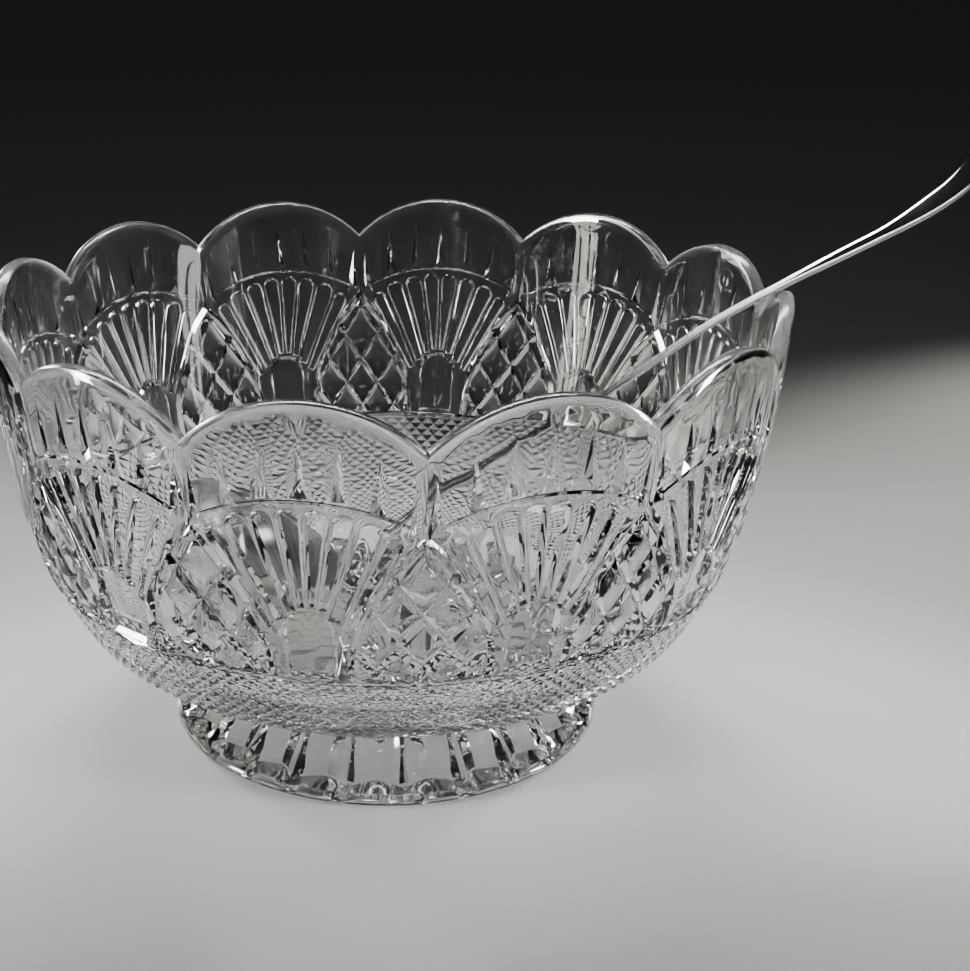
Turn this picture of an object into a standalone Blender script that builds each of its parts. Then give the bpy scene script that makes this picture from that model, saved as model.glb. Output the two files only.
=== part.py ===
"""Cut-crystal punch bowl with a steel punch ladle lying in it.

Metres, +Z up. The origin is the centre of the foot's standing plane, on the bowl's axis.
The rim has twelve lobes, and the notch between two lobes at +X carries the ladle's handle.
"""

import math

import bmesh
import bpy
from mathutils import Matrix, Vector

# --- Bowl: driving dimensions ----------------------------------------------------------

RIM_RADIUS = 0.1524
LOBES = 12
NOTCH_HEIGHT = 1.068 * RIM_RADIUS
LOBE_HEIGHT = 1.177 * RIM_RADIUS
RIM_THICKNESS = 0.0058
RIM_ROUND = 0.0017

FOOT_RADIUS = 0.575 * RIM_RADIUS
FLUTES_PER_LOBE = 2
FLUTE_DEPTH = 0.0026
STAND_RING_WIDTH = 0.0120
RECESS_HEIGHT = 0.0150
# The recess rises from the ring to a shoulder and then to a flat middle, as (radius, height) shares.
RECESS_SHOULDER = (0.88, 0.80)
RECESS_FLAT = 0.45
FOOT_EDGE_BEVEL = 0.0012
# Flutes are shallow in the plain band at the base of the foot, up to this height in rim radii.
PLAIN_BAND_TOP = 0.05
PLAIN_BAND_SHARE = 0.35
WALL_STEPS_TO_RIM = (0.40, 0.80)

STEPS_PER_LOBE = 8

# Outer and inner walls as (radius, height) in rim radii, below the scalloped rim.
FOOT_PROFILE = [(0.570, 0.026), (0.525, 0.070), (0.478, 0.120), (0.455, 0.165)]
OUTER_PROFILE = [
    (0.500, 0.200), (0.640, 0.238), (0.757, 0.300), (0.812, 0.356), (0.850, 0.425),
    (0.888, 0.500), (0.920, 0.590), (0.942, 0.690), (0.960, 0.790), (0.975, 0.880),
]
INNER_PROFILE = [
    (0.925, 0.880), (0.903, 0.780), (0.880, 0.680), (0.855, 0.590), (0.818, 0.505),
    (0.775, 0.435), (0.715, 0.370), (0.635, 0.315), (0.520, 0.272), (0.360, 0.245),
    (0.180, 0.234),
]

# --- Ladle: driving dimensions ---------------------------------------------------------

CUP_RADIUS = 0.0380
CUP_DEPTH = 0.0330
CUP_WALL = 0.0014
CUP_TILT = math.radians(28.0)
CUP_STEPS = 36

HANDLE_AT_NOTCH = (0.1474, 0.1690)
NOTCH_RUN = 0.2024
ROOT_DROP = 0.0140
GAP = 0.0003

# Handle slope above horizontal in degrees, and strip width and thickness, by the run of the
# handle from the cup's lip to the curled tip. The root below the lip follows the cup's skin.
HANDLE_SLOPE = [(0.020, 35.0), (0.166, 35.0), (0.198, 28.0), (0.250, 26.3), (0.282, 37.3), (0.308, 64.0)]
HANDLE_WIDTH = [(-0.016, 0.0120), (0.000, 0.0105), (0.020, 0.0062), (0.100, 0.0050), (0.200, 0.0054),
                (0.250, 0.0105), (0.282, 0.0180), (0.308, 0.0215)]
HANDLE_THICKNESS = [(0.000, 0.0016), (0.015, 0.0020), (0.200, 0.0019), (0.308, 0.0016)]
HANDLE_RUN = HANDLE_SLOPE[-1][0]
HANDLE_STATIONS = 52
TIP_ROUND_LENGTH = 0.0100


# --- Helpers ---------------------------------------------------------------------------

def clear_scene():
    for old in list(bpy.data.objects):
        bpy.data.objects.remove(old, do_unlink=True)


def make_material(name, colour, roughness, metallic, transmission=0.0):
    material = bpy.data.materials.new(name)
    material.use_nodes = True
    shader = material.node_tree.nodes["Principled BSDF"]
    shader.inputs["Base Color"].default_value = (*colour, 1.0)
    shader.inputs["Roughness"].default_value = roughness
    shader.inputs["Metallic"].default_value = metallic
    shader.inputs["Transmission Weight"].default_value = transmission
    material.diffuse_color = (*colour, 1.0)
    return material


def add_object(name, mesh_data, material, location=(0.0, 0.0, 0.0)):
    """Make one smooth-shaded object; mesh_data is a bmesh in the object's own space."""
    bmesh.ops.recalc_face_normals(mesh_data, faces=mesh_data.faces)
    mesh = bpy.data.meshes.new(name)
    mesh_data.to_mesh(mesh)
    mesh_data.free()
    mesh.shade_smooth()
    mesh.set_sharp_from_angle(angle=math.radians(35.0))
    mesh.materials.append(material)
    made = bpy.data.objects.new(name, mesh)
    made.location = location
    bpy.context.collection.objects.link(made)
    return made


def interpolate(table, position, eased=True):
    """Read a (position, value) table, easing each step unless eased is off."""
    if position <= table[0][0]:
        return table[0][1]
    for (start, first), (end, last) in zip(table, table[1:]):
        if position <= end:
            share = (position - start) / (end - start)
            if eased:
                share = share * share * (3.0 - 2.0 * share)
            return first + (last - first) * share
    return table[-1][1]


def skin_rings(mesh_data, rings):
    """Join closed rings of equal length with quads; returns the rings as vertices."""
    vertex_rings = [[mesh_data.verts.new(point) for point in ring] for ring in rings]
    for lower, upper in zip(vertex_rings, vertex_rings[1:]):
        count = len(lower)
        for index in range(count):
            following = (index + 1) % count
            mesh_data.faces.new((lower[index], lower[following], upper[following], upper[index]))
    return vertex_rings


def cap_with_fan(mesh_data, ring, centre):
    """Close a ring with triangles to one centre point."""
    hub = mesh_data.verts.new(centre)
    count = len(ring)
    for index in range(count):
        mesh_data.faces.new((ring[index], ring[(index + 1) % count], hub))


# --- Crystal bowl ----------------------------------------------------------------------

def rim_height(angle):
    """Height of the rim: one circular arc over each lobe, meeting in a notch at 0, 30... degrees."""
    pitch = math.tau / LOBES
    from_centre = (angle % pitch) - pitch / 2.0
    half_chord = RIM_RADIUS * pitch / 2.0
    rise = LOBE_HEIGHT - NOTCH_HEIGHT
    arc_radius = (half_chord ** 2 + rise ** 2) / (2.0 * rise)
    across = RIM_RADIUS * from_centre
    return LOBE_HEIGHT - arc_radius + math.sqrt(arc_radius ** 2 - across ** 2)


def flute_dip(angle):
    """Depth of a concave foot flute: zero on its two ridges, FLUTE_DEPTH at its middle."""
    flutes = LOBES * FLUTES_PER_LOBE
    share = (angle * flutes / math.tau) % 1.0
    return FLUTE_DEPTH * 4.0 * share * (1.0 - share)


def bowl_section(angle):
    """Closed wall section at one angle, from the recess in the foot round to the inner floor."""
    dip = flute_dip(angle)
    section = []
    recess_edge = FOOT_RADIUS - STAND_RING_WIDTH
    section.append((recess_edge * RECESS_FLAT, RECESS_HEIGHT))
    section.append((recess_edge * RECESS_SHOULDER[0], RECESS_HEIGHT * RECESS_SHOULDER[1]))
    section.append((recess_edge, 0.0))
    section.append((FOOT_RADIUS - FOOT_EDGE_BEVEL, 0.0))
    section.append((FOOT_RADIUS, FOOT_EDGE_BEVEL))
    for radius, height in FOOT_PROFILE:
        fade = PLAIN_BAND_SHARE if height < PLAIN_BAND_TOP else 1.0
        section.append((radius * RIM_RADIUS - dip * fade, height * RIM_RADIUS))
    for radius, height in OUTER_PROFILE:
        section.append((radius * RIM_RADIUS, height * RIM_RADIUS))

    top = rim_height(angle)
    outer = RIM_RADIUS
    inner = RIM_RADIUS - RIM_THICKNESS
    last_outer = OUTER_PROFILE[-1]
    first_inner = INNER_PROFILE[0]
    base = last_outer[1] * RIM_RADIUS
    for share in WALL_STEPS_TO_RIM:
        radius = last_outer[0] * RIM_RADIUS * (1.0 - share) + outer * share
        section.append((radius, base * (1.0 - share) + (top - RIM_ROUND) * share))
    section.append((outer, top - RIM_ROUND))
    section.append((outer - RIM_ROUND, top))
    section.append((inner + RIM_ROUND, top))
    section.append((inner, top - RIM_ROUND))
    for share in reversed(WALL_STEPS_TO_RIM):
        radius = first_inner[0] * RIM_RADIUS * (1.0 - share) + inner * share
        section.append((radius, base * (1.0 - share) + (top - RIM_ROUND) * share))
    for radius, height in INNER_PROFILE:
        section.append((radius * RIM_RADIUS, height * RIM_RADIUS))
    return section


def build_bowl(material):
    steps = LOBES * STEPS_PER_LOBE
    angles = [math.tau * index / steps for index in range(steps)]
    sections = [bowl_section(angle) for angle in angles]
    rings = []
    for level in range(len(sections[0])):
        ring = []
        for angle, section in zip(angles, sections):
            radius, height = section[level]
            ring.append(Vector((radius * math.cos(angle), radius * math.sin(angle), height)))
        rings.append(ring)
    bowl = bmesh.new()
    skinned = skin_rings(bowl, rings)
    cap_with_fan(bowl, skinned[0][::-1], (0.0, 0.0, RECESS_HEIGHT))
    cap_with_fan(bowl, skinned[-1], (0.0, 0.0, INNER_PROFILE[-1][1] * RIM_RADIUS))
    return add_object("crystal_bowl", bowl, material)


# --- Ladle -----------------------------------------------------------------------------

def cup_ball():
    """Radius of the ball that the cup's outer skin follows."""
    return (CUP_RADIUS ** 2 + CUP_DEPTH ** 2) / (2.0 * CUP_DEPTH)


def skin_angle(drop):
    """Angle round the ball, from the cup's underside, of the skin at a drop below the lip."""
    ball = cup_ball()
    return math.acos((drop + ball - CUP_DEPTH) / ball)


def root_carrier():
    """Radius at which the root's centre line runs round the cup's ball."""
    return cup_ball() + GAP + interpolate(HANDLE_THICKNESS, 0.0) / 2.0


def root_length():
    return root_carrier() * (skin_angle(0.0) - skin_angle(ROOT_DROP))


def handle_path():
    """Centre line of the handle in the XZ plane as (run, point, tangent) rows; run is 0 at the lip."""
    root = root_length()
    slopes = [(-root, math.degrees(skin_angle(ROOT_DROP) - CUP_TILT)),
              (0.0, math.degrees(skin_angle(0.0) - CUP_TILT))] + HANDLE_SLOPE
    fine = 2000
    step = (root + HANDLE_RUN) / fine
    position = Vector((0.0, 0.0, 0.0))
    rows = []
    for index in range(fine + 1):
        run = index * step - root
        slope = math.radians(interpolate(slopes, run, eased=False))
        tangent = Vector((math.cos(slope), 0.0, math.sin(slope)))
        rows.append((run, position.copy(), tangent))
        position += tangent * step
    at_notch = rows[round((root + NOTCH_RUN) / step)][1]
    shift = Vector((HANDLE_AT_NOTCH[0], 0.0, HANDLE_AT_NOTCH[1])) - at_notch
    return [(run, point + shift, tangent) for run, point, tangent in rows]


def handle_width(run):
    """Strip width, rounded off to a blunt end at the tip."""
    width = interpolate(HANDLE_WIDTH, run)
    left = HANDLE_RUN - run
    if left < TIP_ROUND_LENGTH:
        share = 1.0 - left / TIP_ROUND_LENGTH
        width *= math.sqrt(max(0.0, 1.0 - 0.88 * share * share))
    return width


def build_handle(material, path):
    """Flat tapering strip with softened edges, swept along the path."""
    handle = bmesh.new()
    rings = []
    for index in range(HANDLE_STATIONS + 1):
        share = index / HANDLE_STATIONS
        # Stations crowd together towards the round tip.
        share = share + 0.35 * share * (1.0 - share)
        run, point, tangent = path[round(share * (len(path) - 1))]
        normal = Vector((-tangent.z, 0.0, tangent.x))
        half_width = handle_width(run) / 2.0
        half_thick = interpolate(HANDLE_THICKNESS, run) / 2.0
        edge = min(0.0007, half_thick * 0.6)
        outline = [
            (half_width - edge, -half_thick), (half_width, -half_thick + edge),
            (half_width, half_thick - edge), (half_width - edge, half_thick),
            (-half_width + edge, half_thick), (-half_width, half_thick - edge),
            (-half_width, -half_thick + edge), (-half_width + edge, -half_thick),
        ]
        across = Vector((0.0, 1.0, 0.0))
        rings.append([point + across * side + normal * lift - path[0][1] for side, lift in outline])
    skinned = skin_rings(handle, rings)
    handle.faces.new(skinned[0][::-1])
    handle.faces.new(skinned[-1])
    return add_object("ladle_handle", handle, material, path[0][1])


def cup_profile():
    """Outer and inner skins from the lip down, as (radius, depth below the lip) points."""
    ball = cup_ball()
    centre = CUP_DEPTH - ball
    bands = 9
    outer = []
    inner = []
    for index in range(bands):
        angle = skin_angle(0.0) * (1.0 - index / bands)
        outer.append((ball * math.sin(angle), centre + ball * math.cos(angle)))
        inner.append(((ball - CUP_WALL) * math.sin(angle), centre + (ball - CUP_WALL) * math.cos(angle)))
    # The lip is flat across both skins.
    inner[0] = (outer[0][0] - CUP_WALL, 0.0)
    return outer, inner


def build_cup(material, lip_centre):
    outer, inner = cup_profile()
    section = outer[::-1] + inner
    cup = bmesh.new()
    rings = []
    for radius, below in section:
        ring = []
        for index in range(CUP_STEPS):
            angle = math.tau * index / CUP_STEPS
            ring.append(Vector((radius * math.cos(angle), radius * math.sin(angle), -below)))
        rings.append(ring)
    skinned = skin_rings(cup, rings)
    cap_with_fan(cup, skinned[0][::-1], (0.0, 0.0, -CUP_DEPTH))
    cap_with_fan(cup, skinned[-1], (0.0, 0.0, CUP_WALL - CUP_DEPTH))
    made = add_object("ladle_cup", cup, material, lip_centre)
    made.rotation_euler = (0.0, CUP_TILT, 0.0)
    return made


def lip_centre_from_root(path):
    """Centre of the cup's lip, placed so that the handle's root lies on the cup's skin."""
    axis = Vector((math.sin(CUP_TILT), 0.0, math.cos(CUP_TILT)))
    outward = Vector((math.cos(CUP_TILT), 0.0, -math.sin(CUP_TILT)))
    angle = skin_angle(ROOT_DROP)
    ball_centre = path[0][1] - root_carrier() * (outward * math.sin(angle) - axis * math.cos(angle))
    return ball_centre - axis * (cup_ball() - CUP_DEPTH)


# --- Assembly --------------------------------------------------------------------------

def main():
    clear_scene()
    crystal = make_material("crystal", (0.93, 0.95, 0.95), 0.03, 0.0, transmission=1.0)
    steel = make_material("polished_steel", (0.78, 0.78, 0.77), 0.12, 1.0)
    build_bowl(crystal)
    path = handle_path()
    cup = build_cup(steel, lip_centre_from_root(path))
    handle = build_handle(steel, path)

    # The ladle is one rigid body: both of its pieces hang from one empty at the handle's root.
    ladle = bpy.data.objects.new("ladle", None)
    ladle.location = path[0][1]
    bpy.context.collection.objects.link(ladle)
    bpy.context.view_layer.update()
    for piece in (cup, handle):
        piece.parent = ladle
        piece.matrix_parent_inverse = Matrix.Translation(-path[0][1])


main()
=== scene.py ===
import math

import bmesh
import bpy
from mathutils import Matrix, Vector
from mathutils.geometry import delaunay_2d_cdt


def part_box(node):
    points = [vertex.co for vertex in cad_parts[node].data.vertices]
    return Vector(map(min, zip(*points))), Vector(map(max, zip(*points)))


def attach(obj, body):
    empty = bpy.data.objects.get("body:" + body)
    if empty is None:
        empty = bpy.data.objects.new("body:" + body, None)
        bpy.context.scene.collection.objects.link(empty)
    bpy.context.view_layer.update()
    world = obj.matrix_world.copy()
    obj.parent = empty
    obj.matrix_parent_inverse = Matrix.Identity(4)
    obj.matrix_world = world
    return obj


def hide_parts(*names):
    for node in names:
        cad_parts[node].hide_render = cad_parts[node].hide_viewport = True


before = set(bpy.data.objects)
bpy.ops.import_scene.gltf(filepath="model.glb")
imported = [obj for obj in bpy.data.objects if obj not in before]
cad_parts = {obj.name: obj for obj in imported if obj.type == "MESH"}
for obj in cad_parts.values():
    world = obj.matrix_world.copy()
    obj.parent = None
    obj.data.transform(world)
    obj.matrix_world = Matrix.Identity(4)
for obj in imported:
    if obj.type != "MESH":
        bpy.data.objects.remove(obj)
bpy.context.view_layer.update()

# The row's frame: metres, +Z up, the bowl's axis at the origin, the ladle's notch at +X.
BOWL_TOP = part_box("crystal_bowl")[1]

RIM_RADIUS = BOWL_TOP[0]
LOBES = 12
LOBE_PITCH = math.tau / LOBES
HALF_LOBE = LOBE_PITCH / 2.0
NOTCH_HEIGHT = 1.068 * RIM_RADIUS
LOBE_HEIGHT = BOWL_TOP[2]
RIM_THICKNESS = 0.0058
# The rim's edges are rounded by these steps, as (in from the side, down from the top) in metres.
RIM_ROUND = [(0.0004, 0.0006), (0.0014, 0.0001)]
# Height of the rim's polished lip, above which the wall carries no cutting.
EDGE_LIP = 0.0022
# Columns of mesh round one lobe of the rim, the inside and the foot.
COLUMNS = 24

# Outlines as (radius, height) in rim radii, from the foot up outside and from the rim down inside.
OUTER_OUTLINE = [
    (0.440, 0.190), (0.500, 0.200), (0.640, 0.238), (0.757, 0.300), (0.812, 0.356), (0.850, 0.425),
    (0.888, 0.500), (0.920, 0.590), (0.942, 0.690), (0.960, 0.790), (0.974, 0.880), (0.987, 0.990),
    (0.9965, 1.100), (1.000, 1.177), (1.001, 1.220),
]
INNER_OUTLINE = [
    (0.9625, 1.220), (0.9615, 1.177), (0.957, 1.100), (0.943, 0.990), (0.925, 0.880), (0.903, 0.780),
    (0.880, 0.680), (0.855, 0.590), (0.818, 0.505), (0.775, 0.435), (0.715, 0.370), (0.635, 0.315),
    (0.520, 0.272), (0.360, 0.245), (0.180, 0.234), (0.000, 0.232),
]
# The foot's outline runs down from the waist to its lower edge, in the same units.
FOOT_OUTLINE = [
    (0.500, 0.200), (0.470, 0.188), (0.457, 0.165), (0.462, 0.140), (0.478, 0.115), (0.503, 0.088),
    (0.533, 0.060), (0.560, 0.034), (0.574, 0.014),
]
SHOULDER_HEIGHT = 0.200 * RIM_RADIUS
# Above this height the inside follows the scalloped rim, and below it the rings are level.
LEVEL_INSIDE = 0.880 * RIM_RADIUS
SCALLOPED_SHARES = [0.10, 0.22, 0.36, 0.52, 0.70, 0.86, 1.0]
INSIDE_HUB = 0.004

# --- Foot: driving dimensions ----------------------------------------------------------

FOOT_RADIUS = 0.575 * RIM_RADIUS
STAND_RING_WIDTH = 0.0120
RECESS_HEIGHT = 0.0150
FLUTES = LOBES * 2
FLUTE_DEPTH = 0.0040
# Share of half a flute that the bead of a rib takes up, and how much of the depth the bead gives.
FOOT_BEAD = 0.26
BEAD_SHARE = 0.62
# The flutes fade out over a short height into the plain band below them and the waist above them.
PLAIN_BAND = 0.0042
PLAIN_BAND_FADE = 0.0022
WAIST_HEIGHT = 0.1985 * RIM_RADIUS
WAIST_FADE = 0.0030
# The foot's lower edge as (in from the foot's radius, height) in metres.
FOOT_EDGE = [(0.0, 0.0012), (0.0004, 0.0003), (0.0012, 0.0)]
# The recess under the foot as (share of the ring's inner radius, height).
RECESS = [
    (1.012, 0.0), (1.0, 0.0008), (0.985, 0.0042), (0.965, 0.0085), (0.93, 0.0120), (0.88, 0.0138),
    (0.80, 0.0146), (0.70, 0.0150), (0.56, 0.0150), (0.42, 0.0150), (0.28, 0.0150), (0.14, 0.0150),
]
RAY_DEPTH = 0.0046
RAY_SIDE = 0.0042
RAY_SIDE_FROM = 0.70
RAY_SIDE_FADE = 0.20
RAY_EDGE_FADE = 0.10
RAY_HUB_FADE = 0.42


# --- Curves ----------------------------------------------------------------------------

def clamp(value):
    return max(0.0, min(1.0, value))


def smooth_curve(points, per_span=12):
    """Catmull-Rom curve through 2D points, as a dense list of points."""
    curve = []
    padded = [points[0]] + list(points) + [points[-1]]
    for before, start, end, after in zip(padded, padded[1:], padded[2:], padded[3:]):
        for step in range(per_span):
            t = step / per_span
            curve.append(tuple(
                0.5 * (2.0 * b + (c - a) * t + (2.0 * a - 5.0 * b + 4.0 * c - d) * t * t
                       + (3.0 * b - a - 3.0 * c + d) * t ** 3)
                for a, b, c, d in zip(before, start, end, after)))
    curve.append(tuple(points[-1]))
    return curve


def lookup(keys, values, key):
    """Linear read of values at a key in a rising list of keys."""
    low, high = 0, len(keys) - 1
    if key <= keys[0]:
        return values[0]
    if key >= keys[-1]:
        return values[-1]
    while high - low > 1:
        middle = (low + high) // 2
        if keys[middle] <= key:
            low = middle
        else:
            high = middle
    share = (key - keys[low]) / (keys[high] - keys[low])
    return values[low] + (values[high] - values[low]) * share


class Wall:
    """The bowl's outer wall, unrolled so that shapes drawn on it keep their proportions.

    Across is the angle round the bowl in radians, and rise is arc length over radius, summed
    up from the top of the foot.
    """

    NORMAL_STEP = 0.004

    def __init__(self, outline):
        curve = smooth_curve([(r * RIM_RADIUS, z * RIM_RADIUS) for r, z in outline])
        start = next(i for i, point in enumerate(curve) if point[1] >= SHOULDER_HEIGHT - 1e-9)
        curve = curve[start:]
        self.radii = [point[0] for point in curve]
        self.heights = [point[1] for point in curve]
        self.rises = [0.0]
        for (r0, z0), (r1, z1) in zip(curve, curve[1:]):
            self.rises.append(self.rises[-1] + math.hypot(r1 - r0, z1 - z0) * 2.0 / (r0 + r1))

    def rise_at_height(self, height):
        return lookup(self.heights, self.rises, height)

    def radius(self, rise):
        return lookup(self.rises, self.radii, rise)

    def height(self, rise):
        return lookup(self.rises, self.heights, rise)

    def place(self, angle, rise, depth):
        """Point on the wall, sunk depth metres into the glass."""
        r, z = self.radius(rise), self.height(rise)
        r0, z0 = self.radius(rise - self.NORMAL_STEP), self.height(rise - self.NORMAL_STEP)
        r1, z1 = self.radius(rise + self.NORMAL_STEP), self.height(rise + self.NORMAL_STEP)
        length = math.hypot(r1 - r0, z1 - z0)
        normal_r, normal_z = (z1 - z0) / length, -(r1 - r0) / length
        r -= depth * normal_r
        z -= depth * normal_z
        return (r * math.cos(angle), r * math.sin(angle), z)


WALL = Wall(OUTER_OUTLINE)


def rim_height(across):
    """Rim height over one lobe; across is 0 at the lobe's middle and HALF_LOBE at a notch."""
    half_chord = RIM_RADIUS * HALF_LOBE
    rise = LOBE_HEIGHT - NOTCH_HEIGHT
    arc_radius = (half_chord ** 2 + rise ** 2) / (2.0 * rise)
    sideways = RIM_RADIUS * abs(across)
    return LOBE_HEIGHT - arc_radius + math.sqrt(arc_radius ** 2 - sideways ** 2)


# --- The cut pattern of half a lobe ----------------------------------------------------
# Drawn on the unrolled wall: across runs from 0 at the lobe's middle to HALF_LOBE at the notch.

FAN_FOOT = WALL.rise_at_height(0.500 * RIM_RADIUS)

# Fan: ribs left standing between round-headed hollows.
RIBS = 4
RIB_FOOT_RISE = FAN_FOOT + 0.238
RIB_FOOT_PITCH = 0.0235
RIB_FOOT_DROP = 0.0060
RIB_TOP_PITCH = 0.0625
RIB_TOP_INSET = 0.009
RIB_TOP_DROP = 0.003
HOLLOW_DEPTH = 0.0021
HOLLOW_BEAD = 0.0105
# Corners of the outermost hollow, between the last rib and the arch: both feet, then both tops.
OUTER_HOLLOW = [(0.0725, FAN_FOOT + 0.181), (0.0990, FAN_FOOT + 0.167),
                (0.1840, FAN_FOOT + 0.436), (0.2300, FAN_FOOT + 0.412)]

# Arc over the fan.
FAN_REACH = 0.502
ARC_END = 28.0
ARC_HALF = 0.0045
ARC_DEPTH = 0.0006

# Darts above the arc.
DARTS = 4
DART_FOOT_RISE = FAN_FOOT + 0.510
DART_TIP_RISE = FAN_FOOT + 0.645
DART_FOOT_PITCH = 0.079
DART_TIP_PITCH = 0.084
DART_DROP = (0.0045, 0.0017)
DART_TIP_DROP = 1.05
LAST_DART_LEAN = 0.008
DART_HALF = 0.0165
DART_DEPTH = 0.0019

# Ring round the bowl under the fans, and the window that stands on it.
RING_RISE = FAN_FOOT + 0.008
RING_HALF = 0.0085
RING_DEPTH = 0.0014
WINDOW_HALF = 0.063
WINDOW_TOP = FAN_FOOT + 0.229
WINDOW_BOTTOM = RING_RISE + 0.014
WINDOW_BEVEL = 0.0110
WINDOW_DEPTH = 0.0018

# Pointed arch between two fans, filled with lattice.
ARCH_SPRING = (0.100, FAN_FOOT + 0.034)
ARCH_APEX = (HALF_LOBE, FAN_FOOT + 0.410)
ARCH_HALF = 0.0125
ARCH_DEPTH = 0.0025
LATTICE_INSET = 0.0120
LATTICE_RISE = FAN_FOOT + 0.045
LATTICE_WIDTH = HALF_LOBE * 0.42
LATTICE_TALL = 0.165
LATTICE_DEPTH = 0.0016
LATTICE_VEIN = 0.30
LATTICE_VEIN_DEPTH = 0.0014

# Hobnail band round the lower wall.
HOBNAIL = LOBE_PITCH / 12.0
HOBNAIL_RISE = 0.060
HOBNAIL_DEPTH = 0.0010

# Mesh of half a lobe.
GRID_SPACING = 0.026
GRID_COLUMNS = 10
GRID_HIGHEST = 1.5
GRID_MARGIN = 0.02
SIDE_SNAP = 2e-5
SHORTEST_CREASE = 1e-5


def arch_circle():
    """Centre and radius of the pointed arch's side, a circle centred level with its spring."""
    half = ARCH_APEX[0] - ARCH_SPRING[0]
    rise = ARCH_APEX[1] - ARCH_SPRING[1]
    radius = (half ** 2 + rise ** 2) / (2.0 * half)
    return ARCH_SPRING[0] + radius, radius


ARCH_CENTRE, ARCH_RADIUS = arch_circle()


def arch_across(rise):
    """Across of the arch's side at a rise."""
    up = max(0.0, rise - ARCH_SPRING[1])
    if up >= ARCH_RADIUS:
        return HALF_LOBE
    return ARCH_CENTRE - math.sqrt(ARCH_RADIUS ** 2 - up ** 2)


class Groove:
    """A V cut along a polyline: its deepest line, its two edges and how deep it is anywhere."""

    def __init__(self, points, half_width, depth):
        self.points = points
        self.half = half_width
        self.depth = depth
        self.low = [min(p[i] for p in points) - half_width for i in (0, 1)]
        self.high = [max(p[i] for p in points) + half_width for i in (0, 1)]

    def sunk(self, x, y):
        if not (self.low[0] <= x <= self.high[0] and self.low[1] <= y <= self.high[1]):
            return 0.0
        best = 0.0
        for a, b in zip(self.points, self.points[1:]):
            dx, dy = b[0] - a[0], b[1] - a[1]
            span = dx * dx + dy * dy
            t = clamp(((x - a[0]) * dx + (y - a[1]) * dy) / span)
            away = math.hypot(x - a[0] - t * dx, y - a[1] - t * dy)
            if away < self.half:
                best = max(best, self.depth * (1.0 - away / self.half))
        return best

    def creases(self):
        lines = list(zip(self.points, self.points[1:]))
        for side in (-1.0, 1.0):
            edge = []
            for index, point in enumerate(self.points):
                before = self.points[max(0, index - 1)]
                after = self.points[min(len(self.points) - 1, index + 1)]
                dx, dy = after[0] - before[0], after[1] - before[1]
                length = math.hypot(dx, dy)
                width = self.half * side
                edge.append((point[0] - dy / length * width, point[1] + dx / length * width))
            lines += list(zip(edge, edge[1:]))
        return lines


class Dart:
    """A pointed cut, sharp at its top and broad at its foot."""

    DEEPEST = 0.20

    def __init__(self, foot, tip, half_width, depth):
        self.foot, self.tip, self.half, self.depth = foot, tip, half_width, depth
        self.length = math.dist(foot, tip)
        self.ux = (tip[0] - foot[0]) / self.length
        self.uy = (tip[1] - foot[1]) / self.length

    def local(self, x, y):
        dx, dy = x - self.foot[0], y - self.foot[1]
        return (dx * self.ux + dy * self.uy) / self.length, dx * self.uy - dy * self.ux

    def sunk(self, x, y):
        along, aside = self.local(x, y)
        if along <= 0.0 or along >= 1.0:
            return 0.0
        outline = self.half * (1.0 - along)
        if abs(aside) >= outline:
            return 0.0
        keel = self.depth * (1.0 - along) / (1.0 - self.DEEPEST)
        flank = keel * (1.0 - abs(aside) / outline)
        end = self.depth * along / self.DEEPEST
        return min(flank, end)

    def world(self, along, aside):
        return (self.foot[0] + self.ux * along * self.length + self.uy * aside,
                self.foot[1] + self.uy * along * self.length - self.ux * aside)

    def creases(self):
        left, right = self.world(0.0, -self.half), self.world(0.0, self.half)
        keel = self.world(self.DEEPEST, 0.0)
        return [(left, right), (left, self.tip), (right, self.tip),
                (keel, self.tip), (keel, left), (keel, right)]


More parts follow.
